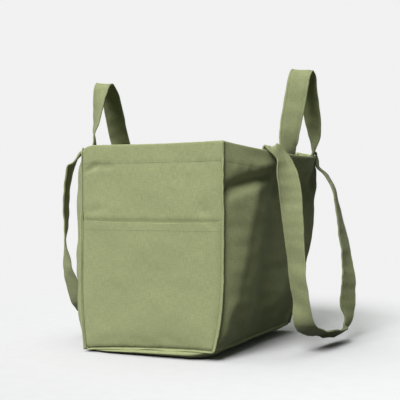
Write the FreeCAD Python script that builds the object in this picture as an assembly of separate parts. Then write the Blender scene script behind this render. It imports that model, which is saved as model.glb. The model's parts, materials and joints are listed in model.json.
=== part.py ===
"""Fruit picking bag: a boxy canvas tote with an end pocket, two grab handles and two long shoulder straps.

Frame: +Z up, origin on the floor under the middle of the base. The pocketed end faces -Y and the two
long side walls, which carry the handles and straps, face -X and +X. All sizes are in millimetres.
"""

import FreeCAD, Part
import math
import os
from FreeCAD import Vector

# Bag body
HEIGHT = 340.0  # floor to rim, at the four corners
RIM_WIDTH, RIM_LENGTH = 252.0, 366.0  # mouth, corner to corner, along X and Y
BASE_WIDTH, BASE_LENGTH = 229.0, 352.0  # base seam, along X and Y
RIM_BOW = 73.0  # how far the middle of a side wall's rim stands out past the corners
BOW_SKEW = 0.25  # the bow is fuller towards the back than towards the front
RIM_SAG = 18.0  # how far the middle of that rim hangs below the corners
NARROWING_STARTS = 0.35  # share of the wall height under which the bag narrows towards its base

# Cloth
CANVAS = 1.2  # one ply
PLY_GAP = 0.12  # air between two plies that lie on each other
HEM_DEPTH = 30.0  # facing sewn inside the rim
POCKET_TOP = 216.0  # pocket mouth above the floor
POCKET_HEM = 15.0  # folded hem at the pocket mouth

# Seams
SEAM_LIFT = 16.0  # base seam above the floor, because the base sags under it
FLOOR_SHARE = 0.66  # share of the base, each way, that lies flat on the floor
RIDGE_OUT, RIDGE_IN = 4.5, 1.5  # pinched corner ridge, outside and inside the corner line
RIDGE_THICKNESS = 2.8
RIDGE_STITCH_IN = 1.8  # from the ridge's edge to its stitching
TAPE_CLEAR = 1.0  # from a binding tape to the cloth next to it
BINDING_WIDTH, BINDING_THICKNESS = 9.0, 2.2  # tape over the raw seam edges inside
THREAD_WIDTH, THREAD_HEIGHT = 0.8, 0.45
STITCH_MARGIN = 4.0  # from the edge of a band or tab to its stitching

# Handles and straps: four plies of the same canvas, folded and topstitched
BAND_WIDTH, BAND_THICKNESS = 35.0, 3.0
TAB_LENGTH = 38.0  # sewn end below the rim
HANDLE_LEGS, STRAP_LEGS = (-54.0, 66.0), (-102.0, 102.0)  # leg centres along the rim, front and back
HANDLE_RISE = 136.0  # arch above its flex line
HANDLE_LEAN = 7.0  # the arch leans outwards over its flex line
HANDLE_FLEX_LIFT, STRAP_FLEX_LIFT = 8.0, 5.0  # flex lines above the rim
HANDLE_GAP, STRAP_GAP = 4.0, 2.2  # from a flex line to the start of the moving cloth
HANDLE_TAB_TOP, STRAP_TAB_TOP = 0.5, 2.8  # sewn ends stand this far above the rim
STRAP_CREST, STRAP_CREST_OUT = 0.6, 8.0  # a strap passes this far above its flex line and starts down here

FOOT = SEAM_LIFT + 2.2  # bottom of the walls
WALL_HEIGHT = HEIGHT - FOOT
EDGE_CLEAR = RIDGE_THICKNESS / 2 / math.sqrt(2) + RIDGE_IN / math.sqrt(2) + 0.25  # wall edge to corner line
HEM_LINE = 1 - HEM_DEPTH / WALL_HEIGHT  # share of the wall height
POCKET_LINE = (POCKET_TOP - FOOT) / WALL_HEIGHT
TAB_INSET = 2 * (CANVAS + PLY_GAP)  # the wall and its facing lie outside a sewn end


# ---------------------------------------------------------------- shapes

def spread(low, high, count):
    return [low + (high - low) * i / (count - 1) for i in range(count)]


def closed_solid(faces):
    shell = Part.makeShell(faces)
    shell.sewShape()
    solid = Part.makeSolid(shell)
    if solid.Volume < 0:
        solid.reverse()
    return solid


def sheet(front, back, us, vs):
    """A cloth solid between two curved faces, each a function of (u, v)."""
    faces, rims = [], []
    for side in (front, back):
        surface = Part.BSplineSurface()
        surface.interpolate([[side(u, v) for v in vs] for u in us])
        faces.append(surface.toShape())
        u0, u1, v0, v1 = surface.bounds()
        curves = [surface.uIso(u0), surface.vIso(v1), surface.uIso(u1), surface.vIso(v0)]
        rims.append([curve.toShape() for curve in curves])
    faces += [Part.makeRuledSurface(a, b) for a, b in zip(*rims)]
    return closed_solid(faces)


def swept_section(corner_lists):
    """A solid bounded by four long splines, one through each list of corner points, with flat ends."""
    steps = spread(0.0, 1.0, len(corner_lists[0]))
    edges = []
    for points in corner_lists:
        curve = Part.BSplineCurve()
        curve.interpolate(Points=points, Parameters=steps)
        edges.append(curve.toShape())
    faces = [Part.makeRuledSurface(edges[i], edges[(i + 1) % 4]) for i in range(4)]
    for end in (0, -1):
        loop = [points[end] for points in corner_lists]
        faces.append(Part.Face(Part.makePolygon(loop + loop[:1])))
    return closed_solid(faces)


def ring(half_x, half_y, width, z_low, z_high, corner=6.0):
    """A flat rectangular ring with rounded corners, width wide inside the stated half sizes."""

    def block(hx, hy, radius):
        box = Part.makeBox(2 * hx, 2 * hy, z_high - z_low, Vector(-hx, -hy, z_low))
        return box.makeFillet(radius, [e for e in box.Edges if abs(e.tangentAt(e.FirstParameter).z) > 0.9])

    return block(half_x, half_y, corner).cut(block(half_x - width, half_y - width, corner - 2))


def mirrored(shape):
    return shape.mirror(Vector(0, 0, 0), Vector(1, 0, 0))


def both_sides(name, right):
    return {name.replace("SIDE", "right"): right, name.replace("SIDE", "left"): mirrored(right)}


# ---------------------------------------------------------------- walls

def half_width(v):
    return RIM_WIDTH / 2 - (RIM_WIDTH - BASE_WIDTH) / 2 * max(0.0, 1 - v / NARROWING_STARTS) ** 2


def half_length(v):
    return (BASE_LENGTH + (RIM_LENGTH - BASE_LENGTH) * v) / 2


def end_wall(x, v, inset, end):
    """A point of an end wall, inset inwards from its outer face. end is -1 for the front, 1 for the back."""
    return Vector(x, end * (half_length(v) - inset), FOOT + v * WALL_HEIGHT)


def side_wall(y, v, inset=0.0):
    """A point of the right-hand side wall, whose rim bows out and sags between the corners."""
    share = abs(y) / half_length(v)
    bow = RIM_BOW * v * (1 - share ** (5 - 3 * v)) * (1 + BOW_SKEW * y / half_length(v))
    sag = RIM_SAG * v * v * (1 - share * share)
    return Vector(half_width(v) + bow - inset, y, FOOT + v * WALL_HEIGHT - sag)


def end_panel(end, inset, v_low, v_high, thickness=CANVAS, trim=EDGE_CLEAR):
    def face(depth):
        return lambda u, v: end_wall(u * (half_width(v) - trim), v, depth, end)

    return sheet(face(inset), face(inset + thickness), spread(-1, 1, 5), spread(v_low, v_high, 9))


def side_panel(inset, v_low, v_high, thickness=CANVAS, trim=EDGE_CLEAR):
    def face(depth):
        return lambda u, v: side_wall(u * (half_length(v) - trim), v, depth)

    return sheet(face(inset), face(inset + thickness), spread(-1, 1, 15), spread(v_low, v_high, 9))


def walls():
    facing_inset = CANVAS + PLY_GAP
    facing_trim = EDGE_CLEAR + CANVAS + PLY_GAP
    made = {
        "front_panel": end_panel(-1, 0, 0, 1),
        "back_panel": end_panel(1, 0, 0, 1),
        "rim_facing_front": end_panel(-1, facing_inset, HEM_LINE, 1, trim=facing_trim),
        "rim_facing_back": end_panel(1, facing_inset, HEM_LINE, 1, trim=facing_trim),
    }
    made.update(both_sides("SIDE_side_panel", side_panel(0, 0, 1)))
    made.update(both_sides("rim_facing_SIDE", side_panel(facing_inset, HEM_LINE, 1, trim=facing_trim)))
    return made


# ---------------------------------------------------------------- base

def tray(half_x, half_y, floor_share, z_low, z_high):
    """A solid with a flat underside, its sides sloping up and out to z_high."""

    def outline(share, z):
        x, y = half_x * share, half_y * share
        loop = [Vector(-x, -y, z), Vector(x, -y, z), Vector(x, y, z), Vector(-x, y, z)]
        return Part.makePolygon(loop + loop[:1])

    return Part.makeLoft([outline(floor_share, z_low), outline(1.0, z_high)], True, True)


def base():
    """The sagging base panel, the pinched seam round it and the tape that binds that seam inside."""
    hx, hy = BASE_WIDTH / 2, BASE_LENGTH / 2
    half = RIDGE_THICKNESS / 2
    top = SEAM_LIFT - half - PLY_GAP
    panel = tray(hx, hy, FLOOR_SHARE, 0, top)
    hollow = tray(hx, hy, FLOOR_SHARE, 0, top)
    hollow.translate(Vector(0, 0, CANVAS))
    cap = Part.makeBox(2 * hx, 2 * hy, 2 * CANVAS, Vector(-hx, -hy, top + CANVAS))
    panel = panel.cut(hollow).cut(cap)
    seam = ring(hx + RIDGE_OUT, hy + RIDGE_OUT, RIDGE_OUT + RIDGE_IN + 2, SEAM_LIFT - half, SEAM_LIFT + half)
    tape_edge = CANVAS + TAPE_CLEAR
    tape = ring(hx - tape_edge, hy - tape_edge, BINDING_WIDTH, FOOT, FOOT + BINDING_THICKNESS)
    return {"base_panel": panel, "base_seam_ridge": seam, "base_seam_binding": tape}


# ---------------------------------------------------------------- corners

def corner_strip(x_sign, y_sign, out, inward, thickness, v_low, v_high, shift=0.0):
    """A strip standing on a corner line at 45 degrees, from inward of the line to out of it."""
    away = Vector(x_sign, y_sign, 0).normalize()
    across = Vector(-x_sign * y_sign, 1, 0).normalize() * (1 if x_sign > 0 else -1)
    rows = [[], [], [], []]
    for v in spread(v_low, v_high, 9):
        corner = Vector(x_sign * half_width(v), y_sign * half_length(v), FOOT + v * WALL_HEIGHT)
        for row, (a, c) in zip(rows, ((-inward, -1), (out, -1), (out, 1), (-inward, 1))):
            row.append(corner + away * a + across * (c * thickness / 2 + shift))
    return swept_section(rows)


def corners():
    made = {}
    below_hem = HEM_LINE - 0.01
    above_tape = (BINDING_THICKNESS + TAPE_CLEAR) / WALL_HEIGHT
    threads = []
    for y_sign, end in ((-1, "front"), (1, "back")):
        for x_sign, side in ((-1, "left"), (1, "right")):
            ridge = corner_strip(x_sign, y_sign, RIDGE_OUT, RIDGE_IN, RIDGE_THICKNESS, 0, 1)
            made[f"{end}_{side}_corner_ridge"] = ridge
            start = RIDGE_IN + CANVAS + TAPE_CLEAR
            span = (-start, start + BINDING_WIDTH, BINDING_THICKNESS, above_tape, below_hem)
            made[f"{end}_{side}_seam_binding"] = corner_strip(x_sign, y_sign, *span)
            for face in (-1, 1):
                shift = face * (RIDGE_THICKNESS / 2 + PLY_GAP / 2 + THREAD_HEIGHT / 2)
                outer = RIDGE_OUT - RIDGE_STITCH_IN
                span = (outer, THREAD_WIDTH - outer, THREAD_HEIGHT, 0.01, 0.99)
                threads.append(corner_strip(x_sign, y_sign, *span, shift))
    made["corner_ridge_stitching"] = Part.makeCompound(threads)
    return made


# ---------------------------------------------------------------- pocket

def pocket():
    """The full-width pocket on the front wall, with the hem folded behind its mouth."""
    edge = EDGE_CLEAR + 0.4
    hem_line = (POCKET_TOP - POCKET_HEM - FOOT) / WALL_HEIGHT
    hem_depth = -(PLY_GAP + CANVAS)
    panel_depth = hem_depth - PLY_GAP - CANVAS
    thread_depth = panel_depth - PLY_GAP / 2 - THREAD_HEIGHT
    thread_line = hem_line + 1.5 / WALL_HEIGHT
    return {
        "pocket_panel": end_panel(-1, panel_depth, 0, POCKET_LINE, trim=edge),
        "pocket_hem": end_panel(-1, hem_depth, hem_line, POCKET_LINE, trim=edge),
        "pocket_hem_stitching": end_panel(
            -1, thread_depth, thread_line, thread_line + THREAD_WIDTH / WALL_HEIGHT, THREAD_HEIGHT, edge + 2
        ),
    }


def hem_stitching():
    """The row of stitches that holds the facing, outside the four walls."""
    inset = -PLY_GAP / 2 - THREAD_HEIGHT
    low = HEM_LINE + 2.0 / WALL_HEIGHT
    high = low + THREAD_WIDTH / WALL_HEIGHT
    trim = EDGE_CLEAR + 1.5
    side = side_panel(inset, low, high, THREAD_HEIGHT, trim)
    ends = [end_panel(end, inset, low, high, THREAD_HEIGHT, trim) for end in (-1, 1)]
    return {"hem_stitching": Part.makeCompound(ends + [side, mirrored(side)])}


# ---------------------------------------------------------------- handles and straps

def tab(leg_y, top_above_rim):
    """The end of a band, sewn flat inside the side wall's facing and standing up to below its flex line."""
    v_low = 1 - TAB_LENGTH / WALL_HEIGHT
    v_high = 1 + top_above_rim / WALL_HEIGHT

    def face(depth):
        return lambda u, v: side_wall(leg_y + u * BAND_WIDTH / 2, v, depth)

    outer, inner = face(TAB_INSET), face(TAB_INSET + BAND_THICKNESS)
    return sheet(outer, inner, spread(-1, 1, 5), spread(v_low, v_high, 7))


def tab_stitching(leg_y):
    """A square of stitches through a tab, seen on the side that faces into the bag."""
    inset = TAB_INSET + BAND_THICKNESS + PLY_GAP / 2
    low = 1 - (TAB_LENGTH - STITCH_MARGIN) / WALL_HEIGHT
    high = 1 - STITCH_MARGIN / WALL_HEIGHT
    half = BAND_WIDTH / 2 - STITCH_MARGIN
    bar = THREAD_WIDTH / WALL_HEIGHT

    def line(y0, y1, v0, v1):
        def face(depth):
            return lambda u, v: side_wall(leg_y + u, v, depth)

        return sheet(face(inset), face(inset + THREAD_HEIGHT), spread(y0, y1, 5), spread(v0, v1, 5))

    rows = [line(-half, half, v, v + bar) for v in (low, high)]
    inner_low, inner_high = low + 2 * bar, high - bar
    rows += [line(y, y + THREAD_WIDTH, inner_low, inner_high) for y in (-half, half - THREAD_WIDTH)]
    return rows


def flex_point(leg_y, flex_lift):
    """Middle of a band where it bends, just above its tab."""
    return side_wall(leg_y, 1 + flex_lift / WALL_HEIGHT, TAB_INSET + BAND_THICKNESS / 2)


def frames_along(points, facings):
    """(point, width direction, outer normal) at each station of a band that turns to face the facings."""
    stations = []
    for i, point in enumerate(points):
        ahead, behind = points[min(i + 1, len(points) - 1)], points[max(i - 1, 0)]
        along = (ahead - behind).normalize()
        across = along.cross(facings[i]).normalize()
        stations.append((point, across, across.cross(along)))
    return stations


def band(stations):
    half_w, half_t = BAND_WIDTH / 2, BAND_THICKNESS / 2
    signs = ((-1, -1), (1, -1), (1, 1), (-1, 1))
    corner = [[p + w * (a * half_w) + n * (b * half_t) for p, w, n in stations] for a, b in signs]
    return swept_section(corner)


def band_stitching(stations):
    """The two rows of topstitching, one along each edge, proud of the outer face."""
    inner = BAND_WIDTH / 2 - STITCH_MARGIN
    low = BAND_THICKNESS / 2 + PLY_GAP / 2
    rows = []
    for side in (-1, 1):
        near, far = side * inner, side * (inner + THREAD_WIDTH)
        corners_at = ((near, low), (far, low), (far, low + THREAD_HEIGHT), (near, low + THREAD_HEIGHT))
        rows.append(swept_section([[p + w * a + n * b for p, w, n in stations] for a, b in corners_at]))
    return Part.makeCompound(rows)


def handle_stations():
    """A rounded arch. The band turns from along the rim at its feet to across it on top."""
    feet = [flex_point(y, HANDLE_FLEX_LIFT) for y in HANDLE_LEGS]
    middle, half = sum(HANDLE_LEGS) / 2, (HANDLE_LEGS[1] - HANDLE_LEGS[0]) / 2
    foot_face = (feet[1] - feet[0]).cross(Vector(0, 0, 1)).normalize()
    points, facings = [], []
    for angle in spread(0, math.pi, 31):
        c, s = math.cos(angle), math.sin(angle)
        across = -half * math.copysign(abs(c) ** 1.4, c)
        share = (across / half + 1) / 2
        rise = s ** 1.2
        foot = feet[0] + (feet[1] - feet[0]) * share
        height = HANDLE_GAP + (HANDLE_RISE - HANDLE_GAP) * rise
        points.append(Vector(foot.x + HANDLE_LEAN * rise, middle + across, foot.z + height))
        turn = math.pi / 2 * rise
        along_arch = Vector(0, math.copysign(math.cos(turn), across), math.sin(turn))
        facings.append(foot_face * (1 - rise) + along_arch * rise)
    return frames_along(points, facings)


# Strap outlines, from the front end of the loop round to the back: outward from the corner line, along Y,
# height above the floor, and the direction the outer face looks in.
HANGS_FROM = RIM_WIDTH / 2
STRAP_SHAPES = {
    "right": [
        (66.0, -102, 322, (0.97, -0.25, 0.3)),
        (72.0, -101, 285, (0.80, -0.60, 0)),
        (75.0, -97, 225, (0.10, -1.0, 0)),
        (79.0, -91, 150, (-0.20, -1.0, 0)),
        (85.0, -80, 82, (-0.25, -0.9, -0.2)),
        (92.0, -46, 38, (0, -0.6, -0.8)),
        (99.0, 10, 26, (0, 0, -1.0)),
        (107.0, 66, 30, (0.1, 0.5, -0.85)),
        (113.0, 97, 62, (0.2, 0.95, -0.2)),
        (117.0, 106, 120, (0.38, 0.92, 0)),
        (113.0, 106, 185, (0.60, 0.80, 0)),
        (98.0, 103, 255, (0.78, 0.62, 0)),
        (79.0, 102, 313, (0.97, 0.25, 0.25)),
    ],
    "left": [
        (74.0, -102, 316, (0.97, -0.25, 0.3)),
        (90.0, -101, 280, (0.96, -0.30, 0)),
        (96.0, -98, 225, (0.94, -0.34, 0)),
        (95.0, -93, 165, (0.72, -0.70, 0)),
        (87.0, -84, 105, (0.36, -0.93, 0)),
        (82.0, -50, 50, (0, -0.6, -0.8)),
        (84.0, 8, 34, (0, 0, -1.0)),
        (93.0, 60, 42, (0.1, 0.6, -0.8)),
        (102.0, 90, 84, (0.3, 0.95, 0)),
        (106.0, 98, 140, (0.45, 0.9, 0)),
        (104.0, 100, 200, (0.65, 0.76, 0)),
        (94.0, 101, 260, (0.88, 0.47, 0)),
        (78.0, 102, 314, (0.97, 0.25, 0.25)),
    ],
}


def strap_stations(shape):
    """The hanging loop of a shoulder strap, for the right-hand side."""
    ends = []
    for leg_y in STRAP_LEGS:
        flex = flex_point(leg_y, STRAP_FLEX_LIFT)
        start = (flex + Vector(STRAP_GAP, 0, STRAP_CREST), Vector(-0.1, 0, 1))
        over = (flex + Vector(STRAP_CREST_OUT, 0, 0), Vector(0.45, 0, 0.9))
        ends.append([start, over])
    hanging = [(Vector(HANGS_FROM + out, y, z), Vector(*facing)) for out, y, z, facing in shape]
    stations = ends[0] + hanging + ends[1][::-1]
    steps = [0.0]
    for (a, _), (b, _) in zip(stations, stations[1:]):
        steps.append(steps[-1] + (b - a).Length)
    path, turning = Part.BSplineCurve(), Part.BSplineCurve()
    path.interpolate(Points=[point for point, _ in stations], Parameters=steps)
    turning.interpolate(Points=[facing.normalize() for _, facing in stations], Parameters=steps)
    along = spread(0, steps[-1], 61)
    return frames_along([path.value(step) for step in along], [turning.value(step) for step in along])


def handles_and_straps():
    made = {}
    handle = handle_stations()
    made.update(both_sides("handle_SIDE", band(handle)))
    made.update(both_sides("handle_SIDE_stitching", band_stitching(handle)))
    for name, legs, top in (("handle", HANDLE_LEGS, HANDLE_TAB_TOP), ("strap", STRAP_LEGS, STRAP_TAB_TOP)):
        ends = [tab(y, top) for y in legs]
        made.update(both_sides(f"{name}_SIDE_sewn_ends", Part.makeCompound(ends)))
        rows = tab_stitching(legs[0]) + tab_stitching(legs[1])
        made.update(both_sides(f"{name}_SIDE_end_stitching", Part.makeCompound(rows)))
    for side, shape in STRAP_SHAPES.items():
        stations = strap_stations(shape)
        loop, threads = band(stations), band_stitching(stations)
        made[f"strap_{side}"] = loop if side == "right" else mirrored(loop)
        made[f"strap_{side}_stitching"] = threads if side == "right" else mirrored(threads)
    return made


def main():
    os.makedirs("parts", exist_ok=True)
    nodes = {}
    for group in (walls, base, corners, pocket, hem_stitching, handles_and_straps):
        nodes.update(group())
    for name, shape in nodes.items():
        if not shape.isValid() or any(solid.Volume <= 0 for solid in shape.Solids):
            print("not a sound solid:", name)
        shape.exportStep(f"parts/{name}.step")
    print(len(nodes), "nodes")


main()
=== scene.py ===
"""A soft canvas fruit picking bag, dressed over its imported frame.

Shapes are worked out in millimetres, in the frame's own axes, and become metres when a mesh is made.
Walls are described by (u, v): u runs from -1 to 1 along a wall, v from 0 at the base seam to 1 at the rim.
"""

import json
import math
from collections import namedtuple

import bpy
import numpy as np
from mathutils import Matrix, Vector


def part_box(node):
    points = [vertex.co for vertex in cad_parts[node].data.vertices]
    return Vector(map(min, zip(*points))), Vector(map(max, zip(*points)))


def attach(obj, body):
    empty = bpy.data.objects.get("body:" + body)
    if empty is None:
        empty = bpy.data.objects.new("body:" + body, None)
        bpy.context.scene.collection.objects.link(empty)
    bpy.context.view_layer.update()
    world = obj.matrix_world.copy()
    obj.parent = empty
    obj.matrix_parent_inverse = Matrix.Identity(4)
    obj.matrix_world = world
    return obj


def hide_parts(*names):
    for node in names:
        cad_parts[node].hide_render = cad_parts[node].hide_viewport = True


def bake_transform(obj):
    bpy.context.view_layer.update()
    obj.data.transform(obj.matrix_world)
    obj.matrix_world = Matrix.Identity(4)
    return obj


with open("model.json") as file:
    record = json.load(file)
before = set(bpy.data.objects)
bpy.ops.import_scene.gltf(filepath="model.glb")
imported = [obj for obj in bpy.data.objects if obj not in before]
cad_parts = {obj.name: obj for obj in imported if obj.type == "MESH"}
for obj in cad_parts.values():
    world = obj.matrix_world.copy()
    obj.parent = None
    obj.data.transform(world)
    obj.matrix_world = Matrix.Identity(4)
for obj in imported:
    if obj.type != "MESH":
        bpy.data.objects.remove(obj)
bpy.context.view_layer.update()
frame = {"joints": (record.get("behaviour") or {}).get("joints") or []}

MM = 0.001


def box_mm(node):
    low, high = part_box(node)
    return np.array(low) / MM, np.array(high) / MM


def joint_named(name):
    return next(joint for joint in frame["joints"] if joint["name"] == name)


# ---------------------------------------------------------------- sizes, from the frame

PANEL_LOW, PANEL_HIGH = box_mm("front_panel")
BASE_HIGH = box_mm("base_panel")[1]
FOOT, RIM = PANEL_LOW[2], PANEL_HIGH[2]
WALL = RIM - FOOT
PANEL_TRIM = 2.3  # the frame's panels stop this far short of the corner lines
HALF_RIM_X, HALF_RIM_Y = PANEL_HIGH[0] + PANEL_TRIM, -PANEL_LOW[1]
HALF_BASE_X, HALF_BASE_Y = BASE_HIGH[0], BASE_HIGH[1]
SEAM_Z = box_mm("base_seam_ridge")[0][2] + 1.4
POCKET_V = (box_mm("pocket_panel")[1][2] - FOOT) / WALL
BOW = box_mm("right_side_panel")[1][0] - HALF_RIM_X
SAG = 18.0
NARROWING = 0.35  # share of the height under which the walls draw in to the base

CLOTH = 1.2  # one ply
GRID = 3.2  # spacing of the cloth meshes
HEM = 30.0
HEM_V = 1 - HEM / WALL
STITCH_GAP, STITCH_LENGTH = 3.1, 2.3
BAND_WIDTH, BAND_THICK = 36.0, 3.0
TAB = 38.0
TAB_INSET = 2 * CLOTH + 0.3 + BAND_THICK / 2


# ---------------------------------------------------------------- small maths

def smoothstep(t):
    t = np.clip(t, 0, 1)
    return t * t * (3 - 2 * t)


def hump(distance, width):
    """A soft bell of height 1 that fades over a width."""
    return np.exp(-((distance / width) ** 2))


def unit(rows):
    return rows / np.maximum(np.linalg.norm(rows, axis=-1, keepdims=True), 1e-9)


def run_along(points):
    """Distance along a row of points, from the first one."""
    return np.concatenate([[0], np.cumsum(np.linalg.norm(np.diff(points, axis=0), axis=1))])


def sampled(rows, run, at):
    """A row of points or directions, read off at distances along it."""
    return np.stack([np.interp(at, run, rows[:, k]) for k in range(3)], axis=-1)


def ripple(a, b, wavelength, seed):
    """A smooth random surface of about unit height over two coordinates."""
    waves = 9
    rng = np.random.default_rng(seed)
    total = np.zeros(np.broadcast(a, b).shape)
    for _ in range(waves):
        heading, phase = rng.uniform(0, 2 * math.pi, 2)
        scale = 2 * math.pi / (wavelength * rng.uniform(0.7, 1.5))
        total += np.sin(scale * (a * math.cos(heading) + b * math.sin(heading)) + phase)
    return total / math.sqrt(waves)


def crease(a, b, line):
    """A long soft fold: height along the segment (a0, b0)-(a1, b1), fading over its width and at its ends."""
    a0, b0, a1, b1, width, height = line
    da, db = a1 - a0, b1 - b0
    length = da * da + db * db
    t = ((a - a0) * da + (b - b0) * db) / length
    near = np.clip(t, 0, 1)
    off = np.hypot(a - a0 - near * da, b - b0 - near * db)
    return height * hump(off, width) * (0.65 + 0.35 * np.sin(math.pi * near))


def smooth_path(rows, count):
    """count rows, evenly spaced along a smooth curve through the given rows, which begin with x, y, z."""
    knots = run_along(rows[:, :3])
    slopes = np.gradient(rows, knots, axis=0)

    def at(t):
        i = np.clip(np.searchsorted(knots, t, side="right") - 1, 0, len(knots) - 2)
        h = (knots[i + 1] - knots[i])[:, None]
        s = ((t - knots[i]) / h[:, 0])[:, None]
        near = rows[i] * (1 + 2 * s) * (1 - s) ** 2 + slopes[i] * h * s * (1 - s) ** 2
        far = rows[i + 1] * s * s * (3 - 2 * s) + slopes[i + 1] * h * s * s * (s - 1)
        return near + far

    dense = np.linspace(0, knots[-1], count * 8)
    fine = at(dense)
    run = run_along(fine[:, :3])
    return at(np.interp(np.linspace(0, run[-1], count), run, dense))


# ---------------------------------------------------------------- materials

class Nodes:
    """A material's or the world's node tree, built up one node at a time."""

    def __init__(self, owner):
        owner.use_nodes = True
        self.owner, self.tree = owner, owner.node_tree

    def feed(self, socket, value):
        if isinstance(value, bpy.types.NodeSocket):
            self.tree.links.new(value, socket)
        else:
            socket.default_value = value

    def add(self, kind, inputs=None, **settings):
        node = self.tree.nodes.new(kind)
        for key, value in settings.items():
            setattr(node, key, value)
        for key, value in (inputs or {}).items():
            self.feed(node.inputs[key], value)
        return node

    def math(self, operation, a, b=0.0):
        return self.add("ShaderNodeMath", {0: a, 1: b}, operation=operation).outputs[0]

    def noise(self, vector, scale, detail=2.0, roughness=0.5):
        inputs = {"Vector": vector, "Scale": scale, "Detail": detail, "Roughness": roughness}
        return self.add("ShaderNodeTexNoise", inputs).outputs["Fac"]

    def stretch(self, vector, scale):
        node = self.add("ShaderNodeMapping", {"Vector": vector, "Scale": scale})
        return node.outputs["Vector"]

    def mix(self, factor, a, b):
        node = self.add("ShaderNodeMix", {0: factor, 6: a, 7: b}, data_type="RGBA")
        return node.outputs[2]

    def ramp(self, factor, low, high, dark=0.0, light=1.0):
        inputs = {"Value": factor, "From Min": low, "From Max": high, "To Min": dark, "To Max": light}
        return self.add("ShaderNodeMapRange", inputs).outputs["Result"]

    def bump(self, height, strength, distance, **inputs):
        inputs.update(Height=height, Strength=strength, Distance=distance)
        return self.add("ShaderNodeBump", inputs).outputs["Normal"]

    def finish(self, **inputs):
        shader = self.tree.nodes["Principled BSDF"]
        for key, value in inputs.items():
            self.feed(shader.inputs[key.replace("_", " ")], value)
        return self.owner


def shade(tint, factor, extra=0.0):
    return tuple(min(1, c * factor + extra) for c in tint[:3]) + (1,)


def woven(name, tint, yarn=0.00085, bump=0.35, contrast=1.0, wear=0.10):
    """Plain-weave cotton: yarns over and under, slubs both ways, soft mottling, paler worn edges, and painted
    shade in its hollows.
    """
    n = Nodes(bpy.data.materials.new(name))
    uv = n.add("ShaderNodeUVMap", uv_map="cloth").outputs["UV"]
    place = n.add("ShaderNodeTexCoord").outputs["Object"]
    split = n.add("ShaderNodeSeparateXYZ", {0: uv})
    turn = math.pi / yarn
    weave = n.math("MULTIPLY", *(n.math("SINE", n.math("MULTIPLY", split.outputs[k], turn)) for k in (0, 1)))
    streaks = ((1 / yarn, 90, 1), (90, 1 / yarn, 1))
    slubs = n.math("ADD", *(n.noise(n.stretch(uv, streak), 1.0, 1.0) for streak in streaks))
    cloudy = n.noise(place, 16.0, 3.0, 0.55)
    grain = n.noise(place, 320.0, 3.0, 0.7)
    fluff = n.noise(place, 2600.0, 2.0, 0.7)

    dark, pale = shade(tint, 1 - 0.17 * contrast), shade(tint, 1 + 0.15 * contrast, 0.006)
    # worn: paler rubbed edges; the second colour is painted shade for the cloth's hollows
    worn, hollow_shade = shade(tint, 1.4, 0.03), shade(tint, 0.45)
    colour = n.mix(n.ramp(slubs, 0.70, 1.30), dark, pale)
    colour = n.mix(n.ramp(cloudy, 0.35, 0.65, 0, 0.15), colour, dark)
    colour = n.mix(n.ramp(grain, 0.35, 0.7, 0, 0.25), colour, pale)
    colour = n.mix(n.ramp(weave, -1, 0.2, 0.22, 0), colour, dark)
    edges = n.add("ShaderNodeNewGeometry").outputs["Pointiness"]
    colour = n.mix(n.ramp(edges, 0.515, 0.60, 0, wear), colour, worn)
    # painted shade: the cloth is darkened where it is hollow, in creases and seam grooves
    colour = n.mix(n.ramp(edges, 0.485, 0.42, 0, 0.30), colour, hollow_shade)

    height = n.math("ADD", n.math("MULTIPLY", weave, 0.5), n.math("MULTIPLY", slubs, 0.55))
    height = n.math("ADD", height, n.math("MULTIPLY", fluff, 0.5))
    relief = n.bump(height, bump, 0.00022)
    soft = n.bump(grain, 0.16, 0.0012, Normal=relief)
    return n.finish(
        Base_Color=colour,
        Roughness=n.ramp(slubs, 0.6, 1.4, 0.97, 0.84),
        Normal=soft,
        Sheen_Weight=0.10,
        Sheen_Roughness=0.45,
        Sheen_Tint=(1.0, 1.0, 0.95, 1),
        Specular_IOR_Level=0.25,
    )


def twisted_thread(name, tint):
    """Sewing thread, with the twist of its plies and a slight shine."""
    n = Nodes(bpy.data.materials.new(name))
    place = n.add("ShaderNodeTexCoord").outputs["Object"]
    wave = {"Vector": place, "Scale": 520.0, "Distortion": 3.0}
    strand = n.add("ShaderNodeTexWave", wave, bands_direction="DIAGONAL").outputs["Fac"]
    patchy = n.noise(place, 60.0)
    dark, pale = shade(tint, 0.7), shade(tint, 1.25)
    colour = n.mix(strand, dark, pale)
    colour = n.mix(n.ramp(patchy, 0.3, 0.7, 0, 0.3), colour, dark)
    relief = n.bump(strand, 0.4, 0.0001)
    rough = n.ramp(patchy, 0.3, 0.7, 0.5, 0.7)
    return n.finish(Base_Color=colour, Roughness=rough, Normal=relief, Sheen_Weight=0.1)


SAGE = (0.287, 0.312, 0.158)
CANVAS = woven("sage_canvas", SAGE)
POCKET_CANVAS = woven("pocket_canvas", shade(SAGE, 0.985), contrast=0.9, wear=0.0)
HEM_CANVAS = woven("facing_canvas", shade(SAGE, 0.90), wear=0.0)
PIPING = woven("seam_canvas", shade(SAGE, 1.05), bump=0.25, wear=0.25)
BAND_CANVAS = woven("band_canvas", shade(SAGE, 0.83), bump=0.4, wear=0.22)
TAPE = woven("binding_tape", shade(SAGE, 0.86), yarn=0.0006, bump=0.3)
THREAD = twisted_thread("sage_thread", (0.245, 0.27, 0.135))


# ---------------------------------------------------------------- meshes

BASE_DROP, RIM_DROP = 11.5, 8.0  # at the front left corner
FOOT_SLIDE, LEFT_SLIDE = 7.5, 3.5  # to the left, and how much further on the left side
LOWEST = 0.3  # nothing sinks into the floor


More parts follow.
